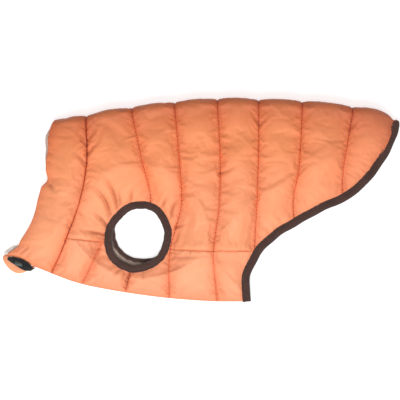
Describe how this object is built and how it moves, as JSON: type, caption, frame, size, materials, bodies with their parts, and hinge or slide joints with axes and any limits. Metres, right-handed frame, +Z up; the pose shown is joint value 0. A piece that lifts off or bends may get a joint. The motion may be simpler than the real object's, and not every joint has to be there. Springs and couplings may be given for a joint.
{
  "type": "dog winter coat",
  "caption": "Quilted padded dog coat folded flat along the spine, with a short collar, bound leg openings, a curved bound hem and a zipped belly edge.",
  "frame": {"origin": "on the surface that the coat lies on, under the middle of the folded coat's box", "axes": "+X from the neck to the tail, +Y from the belly edge to the spine fold, +Z up from the surface; the coat's left side faces up"},
  "size_m": [0.4776, 0.2449, 0.0329],
  "materials": {
    "shell": "peach-orange down-proof nylon, soft sheen, quilted",
    "lining": "matt beige-grey brushed lining",
    "binding": "matt dark brown woven stretch binding",
    "zip": "black woven zip tape with a nylon coil",
    "slider": "glossy black slider"
  },
  "bodies": {
    "root": {"collar": "shell", "back_panel": "shell", "belly_left": "shell", "belly_right": "shell", "closure_flap": "shell", "collar_lining": "lining", "back_lining": "lining", "belly_lining_left": "lining", "belly_lining_right": "lining", "hem_binding": "binding", "leg_binding_left": "binding", "leg_binding_right": "binding", "zip_tape": "zip", "zip_slider": "slider"}
  },
  "joints": []
}
